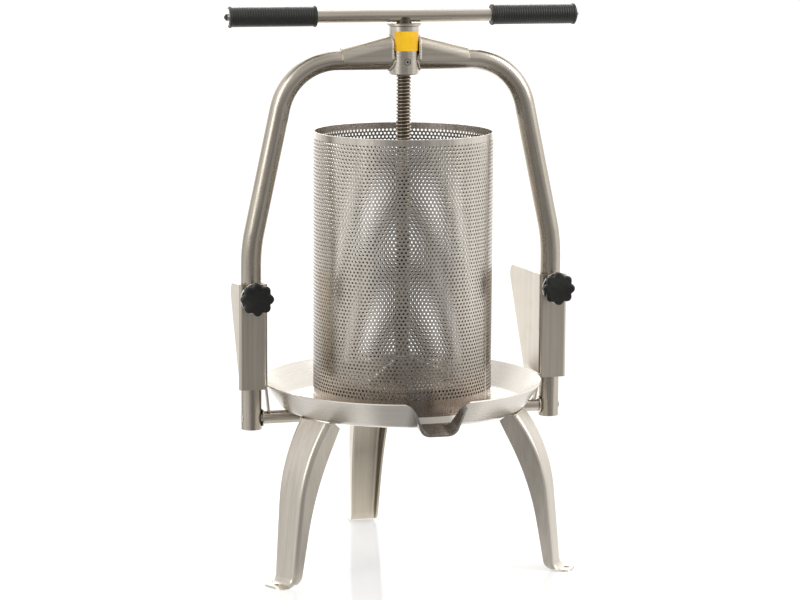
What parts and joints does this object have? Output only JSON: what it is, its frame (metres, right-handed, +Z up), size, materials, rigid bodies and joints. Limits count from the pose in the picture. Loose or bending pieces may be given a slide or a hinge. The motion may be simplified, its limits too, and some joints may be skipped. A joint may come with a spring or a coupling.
{
  "type": "fruit press",
  "caption": "Stainless screw press with a perforated basket on a spouted tray, tripod legs, a bent tube arch and a T-handle.",
  "frame": {"origin": "on the ground, on the axis of the press screw, at the centre of the circle through the foot holes", "axes": "+Z up along the press screw, +X along the handle and the pivot bar, -Y to the front, where the spout is"},
  "size_m": [0.445, 0.3976, 0.6885],
  "materials": {
    "stainless": "satin stainless tube and sheet",
    "tray_sheet": "spun stainless sheet",
    "basket_sheet": "rolled perforated stainless sheet",
    "screw_steel": "cut thread, slightly darker",
    "bush_brass": "turned brass",
    "grip_plastic": "moulded dark olive grey plastic",
    "cap_plastic": "moulded dark plastic",
    "knob_plastic": "moulded dark olive plastic"
  },
  "bodies": {
    "stand": {"tray": "tray_sheet", "leg_rear": "stainless", "leg_left": "stainless", "leg_right": "stainless", "cross_bar": "stainless", "pivot_washer_left": "stainless", "pivot_washer_right": "stainless", "bracket_left": "stainless", "bracket_right": "stainless", "bracket_tab_left": "stainless", "bracket_tab_right": "stainless", "arch_tube_left": "stainless", "arch_tube_right": "stainless", "hub": "stainless", "hub_grub_screw": "screw_steel", "arm_gusset_left": "stainless", "arm_gusset_right": "stainless", "clamp_insert_left": "stainless", "clamp_insert_right": "stainless", "screw_bush": "bush_brass"},
    "basket": {"basket_wall": "basket_sheet"},
    "ram": {"press_plate": "tray_sheet", "press_boss": "stainless", "press_rib_1": "stainless", "press_rib_2": "stainless", "press_rib_3": "stainless", "press_rib_4": "stainless", "thrust_disc": "bush_brass", "boss_lock_screw": "screw_steel"},
    "spindle": {"press_screw": "screw_steel", "handle_tube": "stainless", "stop_washer": "stainless", "grip_left": "grip_plastic", "grip_right": "grip_plastic", "handle_cap_left": "cap_plastic", "handle_cap_right": "cap_plastic"},
    "clamp_carriage_left": {"clamp_washer_left": "stainless"},
    "clamp_left": {"clamp_knob_left": "knob_plastic", "clamp_stud_left": "screw_steel"},
    "clamp_carriage_right": {"clamp_washer_right": "stainless"},
    "clamp_right": {"clamp_knob_right": "knob_plastic", "clamp_stud_right": "screw_steel"}
  },
  "joints": [
    {"name": "ram_lift", "type": "slide", "parent": "stand", "child": "ram", "axis": [0, 0, 1], "range_m": [0, 0.345]},
    {"name": "screw_turn", "type": "hinge", "parent": "ram", "child": "spindle", "pos_m": [0, 0, 0.6], "axis": [0, 0, 1], "range_deg": [0, 29338.68]},
    {"name": "basket_lift", "type": "slide", "parent": "stand", "child": "basket", "axis": [0, 0, 1], "range_m": [0, 0.068]},
    {"name": "clamp_out_left", "type": "slide", "parent": "stand", "child": "clamp_carriage_left", "axis": [0, -1, 0], "range_m": [0, 0.009]},
    {"name": "clamp_turn_left", "type": "hinge", "parent": "clamp_carriage_left", "child": "clamp_left", "pos_m": [-0.1906, -0.03, 0.3385], "axis": [0, -1, 0], "range_deg": [0, 2592.1]},
    {"name": "clamp_out_right", "type": "slide", "parent": "stand", "child": "clamp_carriage_right", "axis": [0, -1, 0], "range_m": [0, 0.009]},
    {"name": "clamp_turn_right", "type": "hinge", "parent": "clamp_carriage_right", "child": "clamp_right", "pos_m": [0.1906, -0.03, 0.3385], "axis": [0, -1, 0], "range_deg": [0, 2592.1]}
  ],
  "couplings": [
    {"joint": "screw_turn", "follows": "ram_lift", "rad_per_m": 1484.2},
    {"joint": "clamp_turn_left", "follows": "clamp_out_left", "rad_per_m": 5026.5},
    {"joint": "clamp_turn_right", "follows": "clamp_out_right", "rad_per_m": 5026.5}
  ]
}
